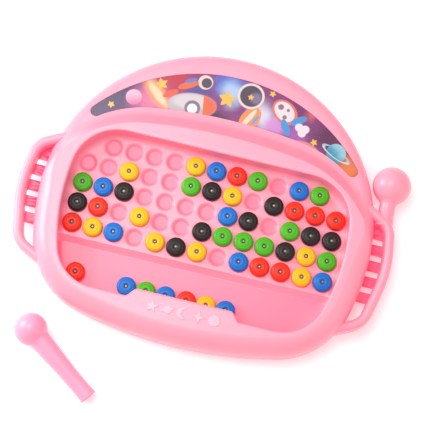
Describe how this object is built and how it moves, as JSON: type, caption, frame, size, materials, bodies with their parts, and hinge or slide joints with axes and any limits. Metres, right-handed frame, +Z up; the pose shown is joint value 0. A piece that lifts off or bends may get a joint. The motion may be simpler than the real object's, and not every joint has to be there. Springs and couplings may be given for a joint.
{
  "type": "magnetic bead picking board",
  "caption": "Shallow helmet-shaped play board with a socketed bead tray, a trough, two side handles, steel-cored beads and a loose pen with a magnet in its tip.",
  "frame": {"origin": "centre of the pad under the base, on the table, below the middle socket of the bead field", "axes": "+X to the right along the rows of sockets, +Y towards the crown of the helmet, +Z up from the table"},
  "size_m": [0.2982, 0.2911, 0.0315],
  "materials": {
    "shell_pink": "moulded ABS, soft gloss",
    "tray_pink": "moulded ABS, soft gloss",
    "base_pink": "moulded ABS, fine satin underside",
    "antenna_pink": "moulded ABS, soft gloss",
    "pen_pink": "moulded ABS, soft gloss",
    "picture": "printed and laminated space picture",
    "screw_steel": "zinc plated",
    "foot_rubber": "matt black rubber",
    "magnet_nickel": "nickel plated magnet face",
    "bead_red": "moulded, glossy",
    "bead_yellow": "moulded, glossy",
    "bead_green": "moulded, glossy",
    "bead_blue": "moulded, glossy",
    "bead_black": "moulded, glossy"
  },
  "bodies": {
    "root": {"antenna": "antenna_pink", "bead_tray": "tray_pink", "case_screws": "screw_steel", "lower_shell": "base_pink", "picture_panel": "picture", "rubber_feet": "foot_rubber", "upper_shell": "shell_pink"},
    "pen": {"pen_barrel": "pen_pink", "pen_magnet": "magnet_nickel"},
    "black_bead_01": {"bead_black_01": "bead_black"},
    "black_bead_02": {"bead_black_02": "bead_black"},
    "black_bead_03": {"bead_black_03": "bead_black"},
    "black_bead_04": {"bead_black_04": "bead_black"},
    "black_bead_05": {"bead_black_05": "bead_black"},
    "black_bead_06": {"bead_black_06": "bead_black"},
    "black_bead_07": {"bead_black_07": "bead_black"},
    "black_bead_08": {"bead_black_08": "bead_black"},
    "black_bead_09": {"bead_black_09": "bead_black"},
    "black_bead_10": {"bead_black_10": "bead_black"},
    "blue_bead_01": {"bead_blue_01": "bead_blue"},
    "blue_bead_02": {"bead_blue_02": "bead_blue"},
    "blue_bead_03": {"bead_blue_03": "bead_blue"},
    "blue_bead_04": {"bead_blue_04": "bead_blue"},
    "blue_bead_05": {"bead_blue_05": "bead_blue"},
    "blue_bead_06": {"bead_blue_06": "bead_blue"},
    "blue_bead_07": {"bead_blue_07": "bead_blue"},
    "blue_bead_08": {"bead_blue_08": "bead_blue"},
    "blue_bead_09": {"bead_blue_09": "bead_blue"},
    "blue_bead_10": {"bead_blue_10": "bead_blue"},
    "green_bead_01": {"bead_green_01": "bead_green"},
    "green_bead_02": {"bead_green_02": "bead_green"},
    "green_bead_03": {"bead_green_03": "bead_green"},
    "green_bead_04": {"bead_green_04": "bead_green"},
    "green_bead_05": {"bead_green_05": "bead_green"},
    "green_bead_06": {"bead_green_06": "bead_green"},
    "green_bead_07": {"bead_green_07": "bead_green"},
    "green_bead_08": {"bead_green_08": "bead_green"},
    "green_bead_09": {"bead_green_09": "bead_green"},
    "green_bead_10": {"bead_green_10": "bead_green"},
    "red_bead_01": {"bead_red_01": "bead_red"},
    "red_bead_02": {"bead_red_02": "bead_red"},
    "red_bead_03": {"bead_red_03": "bead_red"},
    "red_bead_04": {"bead_red_04": "bead_red"},
    "red_bead_05": {"bead_red_05": "bead_red"},
    "red_bead_06": {"bead_red_06": "bead_red"},
    "red_bead_07": {"bead_red_07": "bead_red"},
    "red_bead_08": {"bead_red_08": "bead_red"},
    "red_bead_09": {"bead_red_09": "bead_red"},
    "red_bead_10": {"bead_red_10": "bead_red"},
    "yellow_bead_01": {"bead_yellow_01": "bead_yellow"},
    "yellow_bead_02": {"bead_yellow_02": "bead_yellow"},
    "yellow_bead_03": {"bead_yellow_03": "bead_yellow"},
    "yellow_bead_04": {"bead_yellow_04": "bead_yellow"},
    "yellow_bead_05": {"bead_yellow_05": "bead_yellow"},
    "yellow_bead_06": {"bead_yellow_06": "bead_yellow"},
    "yellow_bead_07": {"bead_yellow_07": "bead_yellow"},
    "yellow_bead_08": {"bead_yellow_08": "bead_yellow"},
    "yellow_bead_09": {"bead_yellow_09": "bead_yellow"},
    "yellow_bead_10": {"bead_yellow_10": "bead_yellow"}
  },
  "joints": [
    {"name": "pen_lift", "type": "slide", "parent": "root", "child": "pen", "axis": [0, 0, 1], "range_m": [0, 0.12]},
    {"name": "pick_black_01", "type": "slide", "parent": "root", "child": "black_bead_01", "axis": [0, 0, 1], "range_m": [0, 0.035]},
    {"name": "pick_black_02", "type": "slide", "parent": "root", "child": "black_bead_02", "axis": [0, 0, 1], "range_m": [0, 0.035]},
    {"name": "pick_black_03", "type": "slide", "parent": "root", "child": "black_bead_03", "axis": [0, 0, 1], "range_m": [0, 0.035]},
    {"name": "pick_black_04", "type": "slide", "parent": "root", "child": "black_bead_04", "axis": [0, 0, 1], "range_m": [0, 0.035]},
    {"name": "pick_black_05", "type": "slide", "parent": "root", "child": "black_bead_05", "axis": [0, 0, 1], "range_m": [0, 0.035]},
    {"name": "pick_black_06", "type": "slide", "parent": "root", "child": "black_bead_06", "axis": [0, 0, 1], "range_m": [0, 0.035]},
    {"name": "pick_black_07", "type": "slide", "parent": "root", "child": "black_bead_07", "axis": [0, 0, 1], "range_m": [0, 0.035]},
    {"name": "pick_black_08", "type": "slide", "parent": "root", "child": "black_bead_08", "axis": [0, 0, 1], "range_m": [0, 0.035]},
    {"name": "pick_black_09", "type": "slide", "parent": "root", "child": "black_bead_09", "axis": [0, 0, 1], "range_m": [0, 0.035]},
    {"name": "pick_black_10", "type": "slide", "parent": "root", "child": "black_bead_10", "axis": [0, 0, 1], "range_m": [0, 0.035]},
    {"name": "pick_blue_01", "type": "slide", "parent": "root", "child": "blue_bead_01", "axis": [0, 0, 1], "range_m": [0, 0.035]},
    {"name": "pick_blue_02", "type": "slide", "parent": "root", "child": "blue_bead_02", "axis": [0, 0, 1], "range_m": [0, 0.035]},
    {"name": "pick_blue_03", "type": "slide", "parent": "root", "child": "blue_bead_03", "axis": [0, 0, 1], "range_m": [0, 0.035]},
    {"name": "pick_blue_04", "type": "slide", "parent": "root", "child": "blue_bead_04", "axis": [0, 0, 1], "range_m": [0, 0.035]},
    {"name": "pick_blue_05", "type": "slide", "parent": "root", "child": "blue_bead_05", "axis": [0, 0, 1], "range_m": [0, 0.035]},
    {"name": "pick_blue_06", "type": "slide", "parent": "root", "child": "blue_bead_06", "axis": [0, 0, 1], "range_m": [0, 0.035]},
    {"name": "pick_blue_07", "type": "slide", "parent": "root", "child": "blue_bead_07", "axis": [0, 0, 1], "range_m": [0, 0.035]},
    {"name": "pick_blue_08", "type": "slide", "parent": "root", "child": "blue_bead_08", "axis": [0, 0.7071, 0.7071], "range_m": [0, 0.04]},
    {"name": "pick_blue_09", "type": "slide", "parent": "root", "child": "blue_bead_09", "axis": [0, 0.7071, 0.7071], "range_m": [0, 0.04]},
    {"name": "pick_blue_10", "type": "slide", "parent": "root", "child": "blue_bead_10", "axis": [0, 0.7071, 0.7071], "range_m": [0, 0.04]},
    {"name": "pick_green_01", "type": "slide", "parent": "root", "child": "green_bead_01", "axis": [0, 0, 1], "range_m": [0, 0.035]},
    {"name": "pick_green_02", "type": "slide", "parent": "root", "child": "green_bead_02", "axis": [0, 0, 1], "range_m": [0, 0.035]},
    {"name": "pick_green_03", "type": "slide", "parent": "root", "child": "green_bead_03", "axis": [0, 0, 1], "range_m": [0, 0.035]},
    {"name": "pick_green_04", "type": "slide", "parent": "root", "child": "green_bead_04", "axis": [0, 0, 1], "range_m": [0, 0.035]},
    {"name": "pick_green_05", "type": "slide", "parent": "root", "child": "green_bead_05", "axis": [0, 0, 1], "range_m": [0, 0.035]},
    {"name": "pick_green_06", "type": "slide", "parent": "root", "child": "green_bead_06", "axis": [0, 0, 1], "range_m": [0, 0.035]},
    {"name": "pick_green_07", "type": "slide", "parent": "root", "child": "green_bead_07", "axis": [0, 0, 1], "range_m": [0, 0.035]},
    {"name": "pick_green_08", "type": "slide", "parent": "root", "child": "green_bead_08", "axis": [0, 0, 1], "range_m": [0, 0.035]},
    {"name": "pick_green_09", "type": "slide", "parent": "root", "child": "green_bead_09", "axis": [0, 0, 1], "range_m": [0, 0.035]},
    {"name": "pick_green_10", "type": "slide", "parent": "root", "child": "green_bead_10", "axis": [0, 0.7071, 0.7071], "range_m": [0, 0.04]},
    {"name": "pick_red_01", "type": "slide", "parent": "root", "child": "red_bead_01", "axis": [0, 0, 1], "range_m": [0, 0.035]},
    {"name": "pick_red_02", "type": "slide", "parent": "root", "child": "red_bead_02", "axis": [0, 0, 1], "range_m": [0, 0.035]},
    {"name": "pick_red_03", "type": "slide", "parent": "root", "child": "red_bead_03", "axis": [0, 0, 1], "range_m": [0, 0.035]},
    {"name": "pick_red_04", "type": "slide", "parent": "root", "child": "red_bead_04", "axis": [0, 0, 1], "range_m": [0, 0.035]},
    {"name": "pick_red_05", "type": "slide", "parent": "root", "child": "red_bead_05", "axis": [0, 0, 1], "range_m": [0, 0.035]},
    {"name": "pick_red_06", "type": "slide", "parent": "root", "child": "red_bead_06", "axis": [0, 0, 1], "range_m": [0, 0.035]},
    {"name": "pick_red_07", "type": "slide", "parent": "root", "child": "red_bead_07", "axis": [0, 0, 1], "range_m": [0, 0.035]},
    {"name": "pick_red_08", "type": "slide", "parent": "root", "child": "red_bead_08", "axis": [0, 0, 1], "range_m": [0, 0.035]},
    {"name": "pick_red_09", "type": "slide", "parent": "root", "child": "red_bead_09", "axis": [0, 0.7071, 0.7071], "range_m": [0, 0.04]},
    {"name": "pick_red_10", "type": "slide", "parent": "root", "child": "red_bead_10", "axis": [0, 0.7071, 0.7071], "range_m": [0, 0.04]},
    {"name": "pick_yellow_01", "type": "slide", "parent": "root", "child": "yellow_bead_01", "axis": [0, 0, 1], "range_m": [0, 0.035]},
    {"name": "pick_yellow_02", "type": "slide", "parent": "root", "child": "yellow_bead_02", "axis": [0, 0, 1], "range_m": [0, 0.035]},
    {"name": "pick_yellow_03", "type": "slide", "parent": "root", "child": "yellow_bead_03", "axis": [0, 0, 1], "range_m": [0, 0.035]},
    {"name": "pick_yellow_04", "type": "slide", "parent": "root", "child": "yellow_bead_04", "axis": [0, 0, 1], "range_m": [0, 0.035]},
    {"name": "pick_yellow_05", "type": "slide", "parent": "root", "child": "yellow_bead_05", "axis": [0, 0, 1], "range_m": [0, 0.035]},
    {"name": "pick_yellow_06", "type": "slide", "parent": "root", "child": "yellow_bead_06", "axis": [0, 0, 1], "range_m": [0, 0.035]},
    {"name": "pick_yellow_07", "type": "slide", "parent": "root", "child": "yellow_bead_07", "axis": [0, 0, 1], "range_m": [0, 0.035]},
    {"name": "pick_yellow_08", "type": "slide", "parent": "root", "child": "yellow_bead_08", "axis": [0, 0, 1], "range_m": [0, 0.035]},
    {"name": "pick_yellow_09", "type": "slide", "parent": "root", "child": "yellow_bead_09", "axis": [0, 0, 1], "range_m": [0, 0.035]},
    {"name": "pick_yellow_10", "type": "slide", "parent": "root", "child": "yellow_bead_10", "axis": [0, 0.7071, 0.7071], "range_m": [0, 0.04]}
  ]
}
